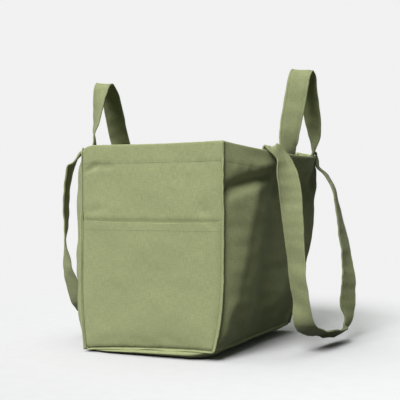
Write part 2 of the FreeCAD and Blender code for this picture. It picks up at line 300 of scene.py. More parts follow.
def settle(points):
    """The empty bag slumps: its front left corner sits lowest, and its foot has slid to the left."""
    x, y, z = points[..., 0], points[..., 1], points[..., 2]
    low_corner = np.clip((115 - x) / 230, 0, 1) ** 2 * smoothstep((-40 - y) / 130)
    drop = BASE_DROP * low_corner * np.exp(-np.maximum(0, z - SEAM_Z) / 60) * smoothstep(z / SEAM_Z)
    from_corner = np.hypot(x + HALF_RIM_X, y + HALF_RIM_Y)
    drop = drop + RIM_DROP * np.exp(-from_corner / 8) * smoothstep((z - RIM + 50) / 50)
    slide = (FOOT_SLIDE + LEFT_SLIDE * smoothstep(-x / 120)) * np.exp(-z / 95)
    return np.stack([x - slide, y, np.maximum(z - drop, LOWEST)], axis=-1)


def placed(name, data):
    """A new object in the scene."""
    obj = bpy.data.objects.new(name, data)
    bpy.context.scene.collection.objects.link(obj)
    return obj


def mesh_object(name, points, faces, uvs, material, settled=True):
    points = settle(points) if settled else points
    mesh = bpy.data.meshes.new(name)
    mesh.from_pydata((points * MM).tolist(), [], faces)
    layer = mesh.uv_layers.new(name="cloth")
    loops = np.empty(len(mesh.loops), int)
    mesh.loops.foreach_get("vertex_index", loops)
    layer.data.foreach_set("uv", (uvs[loops] * MM).ravel())
    mesh.polygons.foreach_set("use_smooth", [True] * len(mesh.polygons))
    mesh.materials.append(material)
    mesh.validate()
    return placed(name, mesh)


def quads(first, nu, nv, flip):
    """The quads of a grid whose points start at an index and run along v first."""
    made = []
    for i in range(nu - 1):
        for j in range(nv - 1):
            a = first + i * nv + j
            quad = (a, a + nv, a + nv + 1, a + 1)
            made.append(quad[::-1] if flip else quad)
    return made


def border(nu, nv):
    """Grid positions round a grid's edge, in order."""
    ring = [(i, 0) for i in range(nu)] + [(nu - 1, j) for j in range(1, nv)]
    ring += [(i, nv - 1) for i in range(nu - 2, -1, -1)] + [(0, j) for j in range(nv - 2, 0, -1)]
    return ring


def grid_normals(grid):
    return unit(np.cross(np.gradient(grid, axis=0), np.gradient(grid, axis=1)))


def cloth_sheet(name, outer, thickness, material, outward):
    """A closed sheet of cloth with rounded edges. outward is 1 or -1: which side of the grid is outside."""
    nu, nv = outer.shape[:2]
    inner = outer - grid_normals(outer) * (outward * thickness)
    middle = (outer + inner) / 2
    ring = border(nu, nv)
    edge = []
    for i, j in ring:
        step = np.zeros(3)
        if i in (0, nu - 1):
            step += unit(middle[i, j] - middle[abs(i - 1), j])
        if j in (0, nv - 1):
            step += unit(middle[i, j] - middle[i, abs(j - 1)])
        edge.append(middle[i, j] + unit(step) * thickness * 0.42)
    points = np.concatenate([outer.reshape(-1, 3), inner.reshape(-1, 3), np.array(edge)])
    size = nu * nv
    faces = quads(0, nu, nv, outward < 0) + quads(size, nu, nv, outward > 0)
    for k, (i, j) in enumerate(ring):
        i2, j2 = ring[(k + 1) % len(ring)]
        a, b = i * nv + j, i2 * nv + j2
        m, m2 = 2 * size + k, 2 * size + (k + 1) % len(ring)
        if outward > 0:
            faces += [(a, m, m2, b), (m, a + size, b + size, m2)]
        else:
            faces += [(b, m2, m, a), (m2, b + size, a + size, m)]
    along, upward = run_along(middle[:, nv // 2]), run_along(middle[nu // 2])
    flat = np.stack(np.meshgrid(along, upward, indexing="ij"), axis=-1).reshape(-1, 2)
    uvs = np.concatenate([flat, flat, [flat[i * nv + j] for i, j in ring]])
    return mesh_object(name, points, faces, uvs, material)


def swept_tube(name, sections, material, uv_across, closed=False, settled=True):
    """A solid through a row of cross-sections (rows, points, 3), joined end to end if closed, else capped."""
    rows, count = sections.shape[:2]
    faces = []
    for r in range(rows if closed else rows - 1):
        a, b = r * count, ((r + 1) % rows) * count
        for k in range(count):
            k2 = (k + 1) % count
            faces.append((a + k, a + k2, b + k2, b + k))
    if not closed:
        faces += [tuple(range(count))[::-1], tuple((rows - 1) * count + k for k in range(count))]
    run = run_along(sections.mean(axis=1))
    uvs = np.stack([np.tile(uv_across, rows), np.repeat(run, count)], axis=-1)
    return mesh_object(name, sections.reshape(-1, 3), faces, uvs, material, settled)


def stitch_row(points, normals):
    """Where a row's single stitches lie, evenly spaced along it: their centres, directions and normals."""
    run = run_along(points)
    count = max(2, int(run[-1] / STITCH_GAP))
    at = (np.arange(count) + 0.5) * run[-1] / count
    ways = unit(sampled(points, run, at + 1) - sampled(points, run, at - 1))
    return sampled(points, run, at), ways, unit(sampled(normals, run, at))


# A stitch is a loop of thread at each station but the pointed ends: share of its length, share of its girth.
STITCH_STATIONS = [(-0.5, 0.0), (-0.40, 0.8), (0.0, 1.0), (0.40, 0.8), (0.5, 0.0)]
STITCH_SIDES = 6
STITCH_POINTS = STITCH_SIDES * (len(STITCH_STATIONS) - 2) + 2


def stitches(name, rows, settled=True, radius=0.42):
    """One object of many short closed stitches, each pressed flat against the cloth."""
    centres, ways, ups = (np.concatenate([row[k] for row in rows]) for k in range(3))
    sides = unit(np.cross(ways, ups))
    ups = unit(np.cross(sides, ways))
    around = np.linspace(0, 2 * math.pi, STITCH_SIDES, endpoint=False)
    parts = []
    for place, size in STITCH_STATIONS:
        spine = centres + ways * (place * STITCH_LENGTH)
        if size == 0:
            parts.append(spine[:, None])
            continue
        loop = spine[:, None] + sides[:, None] * (np.cos(around) * radius * size)[None, :, None]
        parts.append(loop + ups[:, None] * ((np.sin(around) * 0.62 + 0.15) * radius * size)[None, :, None])
    block = np.concatenate(parts, axis=1)
    faces = []
    for n in range(len(centres)):
        start = n * STITCH_POINTS
        end = start + STITCH_POINTS - 1
        ring = range(start + 1, end, STITCH_SIDES)
        for k in range(STITCH_SIDES):
            k2 = (k + 1) % STITCH_SIDES
            faces.append((start, ring[0] + k2, ring[0] + k))
            faces += [(low + k, low + k2, up + k2, up + k) for low, up in zip(ring, ring[1:])]
            faces.append((ring[-1] + k, ring[-1] + k2, end))
    points = block.reshape(-1, 3)
    return mesh_object(name, points, faces, points[:, :2].copy(), THREAD, settled)


# ---------------------------------------------------------------- walls

def half_x(v):
    return HALF_RIM_X - (HALF_RIM_X - HALF_BASE_X) * np.maximum(0, 1 - v / NARROWING) ** 2


def half_y(v):
    return HALF_BASE_Y + (HALF_RIM_Y - HALF_BASE_Y) * v


# Soft folds: (along, height, along, height, half width, depth), in millimetres on each wall.
FOLDS = {
    "right": [
        (-84, 302, -184, 262, 11, -12.0), (-60, 318, -30, 250, 17, -3.0),
        (-100, 150, -88, 40, 30, 2.5), (20, 300, 60, 120, 26, -3.0),
        (70, 322, 150, 230, 16, -4.5), (-150, 60, -90, 34, 9, -2.0),
    ],
    "left": [
        (-96, 318, -180, 262, 14, -3.5), (96, 322, 178, 250, 15, -4.0),
        (0, 260, -20, 120, 26, -3.0),
    ],
    "front": [
        (-118, 298, -102, 306, 4.5, -2.6), (-102, 307, -70, 305, 5, -2.0),
        (-116, 232, -86, 236, 6, -1.2), (92, 240, 100, 226, 9, -2.6),
        (104, 216, 112, 208, 5, -1.2), (-30, 30, 14, 24, 5, -1.2),
        (22, 36, 64, 24, 6, -1.2), (-92, 26, -60, 32, 5, -1.0),
    ],
    "back": [
        (-90, 330, -60, 250, 16, -2.2), (40, 60, 100, 40, 14, -1.6),
        (100, 300, 60, 320, 8, -1.4),
    ],
}
SEEDS = {"front": 11, "back": 23, "left": 37, "right": 41}
ENDS = ("front", "back")
# How the end walls' and the side walls' cloth lies: its slack, how deep and wide it dips at the corner seams,
# and how far it draws in over the base seam, which the side walls hang over instead.
Cloth = namedtuple("Cloth", "slack dip dip_width drawn_in")
END_CLOTH = Cloth(slack=0.65, dip=1.7, dip_width=3.4, drawn_in=4.2)
SIDE_CLOTH = Cloth(slack=1.5, dip=0.5, dip_width=5, drawn_in=-2.2)
END_CROWN = 4.5  # how far the end walls swell out in the middle
RIM_DIP = 2.0  # how far their rims sag
CORNER_DIP = {"front": 3.5, "back": 1.5}  # how much lower their rims are at the left corners
SIDE_TUCK = 3.0  # how far their cloth is drawn in beside the right seam in front, and the left one behind
HEM_FLARE = 5.0  # how far the hem stiffens a side wall outwards
MOUTH_DENT = 2.6  # how far the front wall gives way behind the mouth of the pocket
# From the front seam a side wall's cloth slopes out to a soft crest, goes on nearly flat, and swells again:
# slope, slope after the crest, where the crest lies at the foot, how much further at the rim, last slope.
FACETS = {"right": (0.48, -0.04, 16.0, 70.0, 0.20), "left": (1.10, 0.10, 22.0, 8.0, 0.05)}
SWELL_START, SWELL_ONSET = 150, 16  # behind the front seam
# Their full bow, as a share of the rim's, and how it fills out low down.
BOWLS = {"right": (1.0, 0.50, 0.7), "left": (0.93, 0.85, 0.6)}


def soft_min(a, b, width=7.0):
    return np.minimum(a, b) - (np.maximum(width - np.abs(a - b), 0) / width) ** 2 * width / 4


def side_stand(name, share, v):
    """How far a side wall stands out from the straight line between its corner seams."""
    slope, after, crest_low, crest_more, swell = FACETS[name]
    behind = (share + 1) * half_y(v)
    crest = crest_low + crest_more * v
    flat = slope * behind
    swollen = swell * SWELL_ONSET * np.log1p(np.exp((behind - SWELL_START) / SWELL_ONSET))
    gentle = slope * crest + after * (behind - crest) + swollen
    below_rim = smoothstep((1 - v) * 5)
    reach, low_fill, low_power = BOWLS[name]
    amount = BOW * reach * (v + low_fill * v ** low_power * (1 - v))
    power = 2 + 4 * (1 - v ** 4)
    bowl = amount * (1 - np.abs(np.where(share > 0, share, share * (1 - 0.75 * below_rim))) ** power)
    bowl = bowl * (1 + 0.25 * v * share * (1 - 0.6 * below_rim))
    faceted = soft_min(soft_min(flat, gentle, 5.0), bowl)
    parabola = BOW * reach * v * (1 - share ** 2) * (1 + 0.25 * share)
    ease = smoothstep(behind / 12)
    faceted = faceted * ease + np.minimum(flat, bowl) * (1 - ease)
    return faceted * below_rim + parabola * (1 - below_rim)


def off_seams(u):
    """0 at a wall's corner seams, and 1 over nearly all of its width."""
    return smoothstep((1 - np.abs(u)) * 14)


def mouth_dent(u, v):
    """How far in the front wall stands behind the mouth of the pocket."""
    return MOUTH_DENT * hump((v - POCKET_V) * WALL + 1.0, 4.5) * off_seams(u)


def puckers(name, along, level, stretch, wavelength, step):
    """The ripples that a row of stitches draws into a wall, short along the row and long across it."""
    return ripple(along * stretch[0], level * stretch[1], wavelength, SEEDS[name] + step)


def seam_relief(name, u, v, along, level):
    """How the hem, the corner seams and the base seam draw a wall in and let it out again."""
    cloth = END_CLOTH if name in ENDS else SIDE_CLOTH
    height, below_hem = v * WALL, (HEM_V - v) * WALL
    relief = 0.5 * puckers(name, along, level, (2.2, 0.25), 30, 2) * hump(below_hem - 3, 7) * off_seams(u)
    relief = relief + 0.4 * smoothstep(-below_hem / 3) - 0.22 * hump(below_hem, 1.6)
    flush = 0.0
    if name == "front":
        relief = relief - mouth_dent(u, v)
        flush = smoothstep((v - POCKET_V) * 14) * (u < 0)  # its left seam lies flat above the pocket
    dip = cloth.dip * hump((1 - np.abs(u)) * half_x(v), cloth.dip_width)
    relief = relief - dip * (1 - smoothstep(-below_hem / 6)) * (1 - flush)
    drawn = 0.45 * puckers(name, along, level, (2.0, 0.3), 26, 3) - 0.5
    return relief + drawn * np.exp(-height / 6) - cloth.drawn_in * np.exp(-height / 13) * (1 - u ** 6)


def wall(name, u, v):
    """Points on the outer face of a wall."""
    u, v = np.broadcast_arrays(np.asarray(u, float), np.asarray(v, float))
    at_end = name in ENDS
    level = FOOT + v * WALL
    along = u * (half_x(v) if at_end else half_y(v))
    free = smoothstep((1 - np.abs(u)) * 8) * smoothstep(v * 9)
    slack = 1.0 * ripple(along, level, 95, SEEDS[name]) + 0.28 * ripple(along, level, 34, SEEDS[name] + 1)
    out = slack * free * (END_CLOTH if at_end else SIDE_CLOTH).slack
    for line in FOLDS[name]:
        out = out + crease(along, level, line) * off_seams(u)
    out = out + seam_relief(name, u, v, along, level)
    if at_end:
        sign = -1 if name == "front" else 1
        crown = END_CROWN * (1 - u * u) * np.sin(math.pi * np.clip(v * 0.9 + 0.05, 0, 1))
        tuck = SIDE_TUCK * np.exp(-(1 + sign * u) * half_x(v) / 13)
        tuck = tuck * smoothstep((0.8 - v) * 4) * smoothstep(v * 8) * (1 - u ** 40)
        dip = RIM_DIP * (1 - u * u) * v ** 4
        dip = dip + CORNER_DIP[name] * np.exp(-(1 + u) * half_x(v) / 7) * v ** 12
        return np.stack([along, sign * (half_y(v) + crown + out - tuck), level - dip], axis=-1)
    sign = 1 if name == "right" else -1
    sag = SAG * v * v * (1 - u * u)
    flare = HEM_FLARE * hump((HEM_V - v) * WALL, 14) * (1 - np.abs(u) ** 4)
    across = sign * (half_x(v) + side_stand(name, u, v) + flare + out)
    return np.stack([across, along, level - sag], axis=-1)


OUTWARD = {"front": 1, "back": -1, "left": -1, "right": 1}  # which side of its grid a wall shows


def wall_grid(name):
    """A wall's whole outer face, as a grid of points."""
    bowed = 1.15  # a side wall is longer than its straight line
    length = 2 * (HALF_RIM_X if name in ENDS else HALF_RIM_Y * bowed)
    nu, nv = int(length / GRID), int(WALL / GRID)
    u, v = np.meshgrid(np.linspace(-1, 1, nu), np.linspace(0, 1, nv), indexing="ij")
    return wall(name, u, v)


def wall_normals(name, u, v):
    step = 0.004
    du = wall(name, u + step, v) - wall(name, u - step, v)
    dv = wall(name, u, v + step) - wall(name, u, v - step)
    return unit(np.cross(du, dv)) * OUTWARD[name]


def offset_wall(name, u, v, out):
    """Points a distance out from a wall's outer face."""
    return wall(name, u, v) + wall_normals(name, u, v) * out


def wall_with_fold(name):
    """A wall whose cloth rolls over the rim and turns down inside."""
    grid = wall_grid(name)
    normal = grid_normals(grid)[:, -1] * OUTWARD[name]
    top = grid[:, -1]
    up = np.array([0, 0, 1.0])
    radius = CLOTH * 1.05
    rolls = []
    for angle in np.radians([45, 90, 135, 180]):
        rolls.append(top - normal * radius * (1 - math.cos(angle)) + up * radius * math.sin(angle))
    rolls.append(rolls[-1] - up * 2.5)
    return np.concatenate([grid, np.stack(rolls, axis=1)], axis=1)


def dress_bag(obj, node):
    """Put a piece on the bag's own body, in the place of its node."""
    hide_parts(node)
    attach(obj, "bag")


def make_walls():
    trim = 1 - 2.5 / HALF_RIM_X  # the facings stop short of the corner seams
    hem_u, hem_v = np.linspace(-trim, trim, 90), np.linspace(HEM_V, 1 - 1.2 / WALL, 10)
    u, v = np.meshgrid(hem_u, hem_v, indexing="ij")
    for name, outward in OUTWARD.items():
        panel = cloth_sheet(f"{name}_wall", wall_with_fold(name), CLOTH * 0.9, CANVAS, outward)
        dress_bag(panel, f"{name}_panel" if name in ENDS else f"{name}_side_panel")
        inner = offset_wall(name, u, v, -(CLOTH + 0.15))
        facing = cloth_sheet(f"{name}_facing", inner, CLOTH, HEM_CANVAS, outward)
        dress_bag(facing, f"rim_facing_{name}")
    rows = []
    for name in OUTWARD:
        u = np.linspace(-0.975, 0.975, 160)
        for out in (0.05, -(2 * CLOTH + 0.25)):
            points = offset_wall(name, u, np.full_like(u, HEM_V + 1.0 / WALL), out)
            normals = wall_normals(name, u, np.full_like(u, HEM_V)) * (1 if out > 0 else -1)
            rows.append(stitch_row(points, normals))
    dress_bag(stitches("hem_stitches", rows), "hem_stitching")


# ---------------------------------------------------------------- corner and base seams

# Cross-sections of the pinched seams and of the tapes that bind their raw edges: (outward, sideways).
RIDGE_PROFILE = np.array([
    (-2.0, -1.7), (0.6, -1.45), (2.6, -1.35), (3.9, -1.25), (4.6, -0.7), (4.75, 0.0),
    (4.6, 0.7), (3.9, 1.25), (2.6, 1.35), (0.6, 1.45), (-2.0, 1.7),
])
CORNER_TAPE_PROFILE = np.array([
    (-3.6, -1.0), (-8, -1.2), (-12.4, -1.0), (-13.2, 0), (-12.4, 1.0), (-8, 1.2), (-3.6, 1.0),
])
BASE_CORNER = 7.0  # radius of the base seam's corners
BASE_TAPE_PROFILE = np.array([
    (4, -0.9), (0, -1.1), (-4, -0.9), (-4.8, 0), (-4, 0.9), (0, 1.1), (4, 0.9), (4.8, 0),
])


def corner_line(x_sign, y_sign, v):
    return np.stack([x_sign * half_x(v), y_sign * half_y(v), FOOT + v * WALL], axis=-1)


def corner_ways(x_sign, y_sign):
    """Outwards from a corner, and across its seam."""
    return unit(np.array([x_sign, y_sign, 0.0])), np.array([-y_sign, x_sign, 0.0]) / math.sqrt(2)


def make_corner_ridge(x_sign, y_sign, end, side, seed):
    """One corner's pinched seam. Returns its two rows of stitches."""
    flattened = (end, side) == ("front", "left")
    v = np.linspace(-0.008, 0.986 if flattened else 1.0, 120)
    line = corner_line(x_sign, y_sign, v)
    away, across = corner_ways(x_sign, y_sign)
    lean = 0.55 * ripple(v * WALL, 0, 60, seed) + 0.22 * ripple(v * WALL, 0, 17, seed + 9)
    in_hem = smoothstep((v - HEM_V) / (1 - HEM_V) * 3)
    reach = 0.82 - 0.35 * in_hem + 0.05 * ripple(v * WALL, 0, 40, seed + 4)
    if flattened:
        reach = reach * (1 - 0.62 * smoothstep((v - POCKET_V) * 14))
    stout = 1 + 0.5 * in_hem
    out, sideways = RIDGE_PROFILE[:, 0], RIDGE_PROFILE[:, 1]
    sections = line[:, None] + away * (out * reach[:, None])[..., None]
    sideways = sideways * stout[:, None] + lean[:, None] * np.clip(out / 4.5, 0, 1)
    sections = sections + across * sideways[..., None]
    ridge = swept_tube(f"{end}_{side}_corner_seam", sections, PIPING, run_along(RIDGE_PROFILE))
    dress_bag(ridge, f"{end}_{side}_corner_ridge")
    stitch_row_out, stitch_row_aside = 2.3, 1.45
    rows = []
    for face in (-1, 1):
        aside = face * stitch_row_aside * stout + lean * 0.5
        middle = (line + away * (stitch_row_out * reach)[:, None] + across * aside[:, None])[4:-3]
        rows.append(stitch_row(middle, np.tile(across * face, (len(middle), 1))))
    return rows


def make_corner_tape(x_sign, y_sign, end, side, seed):
    """The tape round a corner seam's raw edge, inside, up to the facing."""
    v = np.linspace(0.012, HEM_V - 0.01, 60)
    away, across = corner_ways(x_sign, y_sign)
    inward, sideways = CORNER_TAPE_PROFILE[:, 0], CORNER_TAPE_PROFILE[:, 1]
    body = corner_line(x_sign, y_sign, v)[:, None] + away * inward[None, :, None]
    wave = (0.8 * ripple(v * WALL, 0, 45, seed + 20))[:, None] * np.linspace(0.2, 1, len(inward))
    body = body + across * (sideways + wave)[..., None]
    tape = swept_tube(f"{end}_{side}_seam_tape", body, TAPE, np.linspace(0, 24, len(inward)))
    dress_bag(tape, f"{end}_{side}_seam_binding")


def make_corners():
    rows = []
    for y_sign, end in ((-1, "front"), (1, "back")):
        for x_sign, side in ((-1, "left"), (1, "right")):
            seed = 50 + 3 * y_sign + x_sign
            rows += make_corner_ridge(x_sign, y_sign, end, side, seed)
            make_corner_tape(x_sign, y_sign, end, side, seed)
    dress_bag(stitches("corner_seam_stitches", rows, radius=0.36), "corner_ridge_stitching")


def base_loop(inset, z, count):
    """A rounded rectangle round the base seam, as points and outward directions."""
    hx, hy = HALF_BASE_X - inset, HALF_BASE_Y - inset
    radius = max(1.5, BASE_CORNER - inset)
    points, ways = [], []
    for cx, cy, start in ((1, 1, 0), (-1, 1, 90), (-1, -1, 180), (1, -1, 270)):
        for angle in np.radians(np.linspace(start, start + 90, 9)):
            way = np.array([math.cos(angle), math.sin(angle), 0])
            points.append(np.array([cx * (hx - radius), cy * (hy - radius), z]) + way * radius)
            ways.append(way)
    points, ways = np.array(points + points[:1]), np.array(ways + ways[:1])
    run = run_along(points)
    at = np.linspace(0, run[-1], count, endpoint=False)
    return sampled(points, run, at), unit(sampled(ways, run, at))


def base_surface():
    """The soft base's underside: flat on the floor, rolling up to the seam, and bulging at both ends."""
    side = np.sin(np.linspace(-1, 1, 110) * math.pi / 2)  # closer together near the seam
    front = np.sin(np.linspace(-1, 1, 150) * math.pi / 2)
    s, t = np.meshgrid(side, front, indexing="ij")
    x, y = s * HALF_BASE_X, t * HALF_BASE_Y
    dx, dy = HALF_BASE_X - np.abs(x), HALF_BASE_Y - np.abs(y)
    at_end = dy <= dx
    gap = np.maximum(0, -3 * np.log(np.exp(-dx / 3) + np.exp(-dy / 3)))  # from the seam
    corner = smoothstep((np.abs(s) - 0.55) / 0.45) * smoothstep((np.abs(t) - 0.70) / 0.30)
    tucked = np.maximum(corner, 0.9 * smoothstep((dy - dx + 10) / 50))  # the corners and long sides
    rounded = 1 - np.sqrt(np.maximum(0, 1 - (1 - np.clip(gap / 24.0, 0, 1)) ** 2))
    shallow = (1 - np.clip(gap / 80.0, 0, 1)) ** 2
    rise = rounded + (shallow - rounded) * tucked
    rise = np.where(np.minimum(dx, dy) < 0.01, 1.0, rise)
    lift = 0.5 + np.abs(0.5 * ripple(x, y, 70, 71))
    z = lift + (SEAM_Z - 1.5 - lift) * rise
    end_fullness = np.where(y < 30 - HALF_BASE_Y, 8.0, 4.0) * (1 - s ** 4)
    side_fullness = 1.5 * (1 - t ** 4)
    bulge = np.where(at_end, end_fullness, side_fullness) * np.sin(math.pi * rise) ** 0.8
    return np.stack([x + np.sign(x) * bulge * ~at_end, y + np.sign(y) * bulge * at_end, z], axis=-1)


def make_base():
    dress_bag(cloth_sheet("sagging_base", base_surface(), CLOTH, CANVAS, -1), "base_panel")

    line, way = base_loop(0.0, SEAM_Z, 300)
    profile = RIDGE_PROFILE * (0.50, 0.80)
    out, up = profile[:, 0], profile[:, 1]
    sideways = np.abs(way[:, 0]) ** 3  # 1 along the long sides, where the seam is tucked under the wall
    tucked = 1 - 0.90 * sideways
    droop = 0.5 * ripple(line[:, 0], line[:, 1], 60, 81) - 1.2 - 1.5 * sideways
    sections = line[:, None] + way[:, None] * (out * tucked[:, None])[..., None]
    sections[..., 2] += up + droop[:, None] * np.clip(out / 2.4, 0, 1)
    ridge = swept_tube("base_seam_piping", sections, PIPING, run_along(profile), closed=True)
    dress_bag(ridge, "base_seam_ridge")

    line, way = base_loop(7.0, FOOT + 1.4, 200)
    inward, up = BASE_TAPE_PROFILE[:, 0], BASE_TAPE_PROFILE[:, 1]
    body = line[:, None] + way[:, None] * inward[None, :, None]
    body[..., 2] += up + 0.6 * (1 + ripple(line[:, 0], line[:, 1], 50, 83))[:, None]
    tape = swept_tube("base_seam_tape", body, TAPE, np.linspace(0, 20, len(inward)), closed=True)
    dress_bag(tape, "base_seam_binding")


# ---------------------------------------------------------------- pocket

def gape(u, v):
    """How far each point of the pocket follows its mouth: its sides and bottom are sewn down."""
    return (1 - np.abs(u) ** 2.2) ** 1.3 * smoothstep(v / POCKET_V * 1.1)


def bend_piece(obj):
    """Bake a piece's placement into its mesh."""
    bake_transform(obj)


def pocket_surface(u, v, out):
    """The pocket's outer face. Its mouth stands off the wall a little in the middle."""
    pressed = 0.42 + 0.58 * smoothstep((1 - np.abs(u)) * HALF_RIM_X / 9)
    stand = out * pressed + mouth_dent(u, v) + 1.2 * gape(u, v) * smoothstep((v / POCKET_V - 0.55) / 0.45)
    return offset_wall("front", u, v, 0) + np.stack([0 * u, -stand, 0 * u], axis=-1)


POCKET_TRIM = 1 - 1.6 / HALF_RIM_X  # the pocket stops just short of the corner seams
POCKET_HEM_V = POCKET_V - 15.0 / WALL


def pocket_sheet(name, node, v_low, rows, out, material):
    """A part of the pocket's cloth, from one height up to the mouth, which dips in the middle."""
    columns = 86
    closer = 1 - (1 - np.linspace(0, 1, rows)) ** 1.7  # towards the mouth
    u, share = np.meshgrid(np.linspace(-POCKET_TRIM, POCKET_TRIM, columns), closer, indexing="ij")
    top = POCKET_V + (-1.6 * (1 - u * u) + 0.5 * ripple(u * HALF_RIM_X, 0, 60, 91)) / WALL
    v = v_low + (top - v_low) * share
    obj = cloth_sheet(name, pocket_surface(u, v, out), CLOTH * 0.85, material, 1)
    edge = [i * rows + j for i, j in border(columns, rows)]
    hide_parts(node)
    bend_piece(obj)


def make_pocket():
    pocket_sheet("pocket_hem_fold", "pocket_hem", POCKET_HEM_V, 8, CLOTH + 0.1, HEM_CANVAS)
    pocket_sheet("pocket_cloth", "pocket_panel", 0.002, 66, 2 * CLOTH + 0.25, POCKET_CANVAS)
    u = np.linspace(-POCKET_TRIM + 0.02, POCKET_TRIM - 0.02, 140)
    points = pocket_surface(u, np.full_like(u, POCKET_HEM_V + 1.6 / WALL), 2 * CLOTH + 0.3)
    row = stitch_row(points, np.tile([0.0, -1.0, 0.0], (len(u), 1)))
    seam = stitches("pocket_hem_stitches", [row])
    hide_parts("pocket_hem_stitching")
    bend_piece(seam)


# ---------------------------------------------------------------- handles and straps

# Stations across a band, as shares of its half width: closer at the folded edges and the topstitching.
HALF_STATIONS = [0.2, 0.4, 0.6, 0.71, 0.77, 0.83, 0.90, 0.97, 1]
BAND_STATIONS = np.array([-share for share in reversed(HALF_STATIONS)] + [0] + HALF_STATIONS)
TOPSTITCH_AT, TOPSTITCHED = 0.77, 4  # its share of the half width, and its station
LEG_EDGE = 17.5  # from a sewn end's edge to its middle line
TURN_Y, TURN_Z = 97.0, 36.0  # where the right strap's loop turns up at the back


def drawn_in(run, strength):
    """How far a strap is drawn together just past its first sewn end, along its length."""
    return strength * smoothstep((run - TAB + 4) / 12) * (1 - smoothstep((run - TAB - 12) / 62))


def band_sections(rows, cup, seed, gather):
    """Cross-sections of a folded, topstitched band along rows of (x, y, z, facing x, y, z).

    Returns them with the distances across the band and along it.
    """
    centre, facing = rows[:, :3], unit(rows[:, 3:6])
    along = unit(np.gradient(centre, axis=0))
    across = unit(np.cross(along, facing))
    normal = unit(np.cross(across, along))
    half = BAND_WIDTH / 2
    a = BAND_STATIONS
    off_middle = np.abs(a)
    seamed = 1 - 0.28 * hump(off_middle - TOPSTITCH_AT, 0.05) + 0.12 * hump(off_middle - 0.9, 0.06)
    rounded = np.sqrt(np.maximum(0, 1 - ((off_middle - 0.93) / 0.07) ** 2))
    b = BAND_THICK / 2 * seamed * np.where(off_middle > 0.93, rounded, 1.0)
    a = np.concatenate([a, a[-2:0:-1]])
    b = np.concatenate([b, -b[-2:0:-1]])
    run = run_along(centre)
    grid_a = a * half
    grid_s = run[:, None] + 0 * grid_a
    crumple = 0.5 * ripple(grid_a * 0.5, grid_s, 24, seed) + 1.0 * ripple(grid_a * 0.25, grid_s, 60, seed + 1)
    bend = 0 if cup is None else cup(run / run[-1])[:, None] * (a ** 2 - 0.35)
    edge = 0.25 * ripple(grid_s, np.sign(grid_a) * 40, 30, seed + 2) * np.abs(a)
    drawn = drawn_in(run, gather)[:, None]
    grid_a = grid_a - (grid_a + half) * drawn
    if gather > 0:
        from_turn = np.hypot(centre[:, 1] - TURN_Y, centre[:, 2] - TURN_Z)
        grid_a = grid_a + (half - grid_a) * (0.45 * hump(from_turn, 19))[:, None]
    crumple = crumple - 9.0 * drawn * hump(a + 0.35, 0.16)
    sections = centre[:, None] + across[:, None] * (grid_a + edge)[..., None]
    sections = sections + normal[:, None] * (b + crumple + bend)[..., None]
    return sections, a * half, run


def tab_rows(side, y):
    """Control rows for a sewn end inside a side wall, from its bottom up to the rim."""
    u = y / HALF_RIM_Y
    way = unit(wall_normals(side, u, 0.99) * (1, 1, 0))
    depths = (TAB, 25.0, 13.0, 3.0)
    return [np.concatenate([wall(side, u, 1 - below / WALL) - way * TAB_INSET, way]) for below in depths]


def hinge_line(kind, side):
    """A band's fold at the rim: a point on it, and its direction."""
    axis = joint_named(f"{kind}_{side}_{'fold' if kind == 'handle' else 'swing'}")
    return np.array(axis["pos_m"]) / MM, np.array(axis["axis"], float)


# A handle from its front foot to its back one: share of the way, rise, lean outward, and its outer face's
# facing, as (outward, along Y, up).
HANDLE_COURSE = {
    "right": [
        (0.005, 0.07, 0.5, (0.84, -0.54, 0)), (0.02, 0.18, 2, (0.70, -0.71, 0)),
        (0.06, 0.38, 5, (0.50, -0.86, 0)), (0.13, 0.62, 8, (0.42, -0.90, 0.10)),
        (0.20, 0.82, 9, (0.36, -0.88, 0.28)), (0.29, 0.95, 9, (0.30, -0.72, 0.60)),
        (0.40, 1.0, 8, (0.12, -0.10, 1)), (0.52, 0.955, 7, (-0.02, 0.55, 0.84)),
        (0.65, 0.81, 5, (0.15, 0.78, 0.62)), (0.77, 0.61, 4, (0.26, 0.86, 0.44)),
        (0.87, 0.40, 4, (0.42, 0.86, 0.30)), (0.95, 0.20, 3, (0.66, 0.74, 0.10)),
        (0.99, 0.08, 1, (0.88, 0.46, 0)),
    ],
    "left": [
        (0.005, 0.07, 0.5, (0.93, -0.36, 0)), (0.02, 0.18, 0, (0.90, -0.42, 0)),
        (0.05, 0.38, -1, (0.76, -0.65, 0)), (0.09, 0.60, -3, (0.52, -0.85, 0.10)),
        (0.14, 0.80, -4, (0.30, -0.92, 0.22)), (0.20, 0.93, -5, (0.12, -0.84, 0.50)),
        (0.30, 0.985, -4, (-0.12, -0.25, 0.97)), (0.43, 0.915, -3, (0.0, 0.64, 0.76)),
        (0.57, 0.77, -1, (0.22, 0.82, 0.52)), (0.71, 0.56, 1, (0.36, 0.87, 0.36)),
        (0.83, 0.36, 2, (0.42, 0.87, 0.24)), (0.93, 0.18, 1, (0.60, 0.79, 0.08)),
        (0.985, 0.07, 0.5, (0.86, 0.5, 0)),
    ],
}


def leg_places(kind, side):
    low, high = box_mm(f"{kind}_{side}_sewn_ends")
    return low[1] + LEG_EDGE, high[1] - LEG_EDGE


def handle_rows(side):
    sign = 1 if side == "right" else -1
    origin, way = hinge_line("handle", side)
    front, back = leg_places("handle", side)
    rise_height = box_mm(f"handle_{side}")[1][2] - origin[2] - BAND_THICK / 2
    arch = []
    for share, rise, lean, facing in HANDLE_COURSE[side]:
        y = front + (back - front) * share
        place = origin + way * ((y - origin[1]) / way[1]) + (sign * lean, 0, rise_height * rise)
        arch.append(np.concatenate([place, unit(np.array(facing) * (sign, 1, 1))]))
    first, last = tab_rows(side, front), tab_rows(side, back)
    return np.array(first + arch + last[::-1])


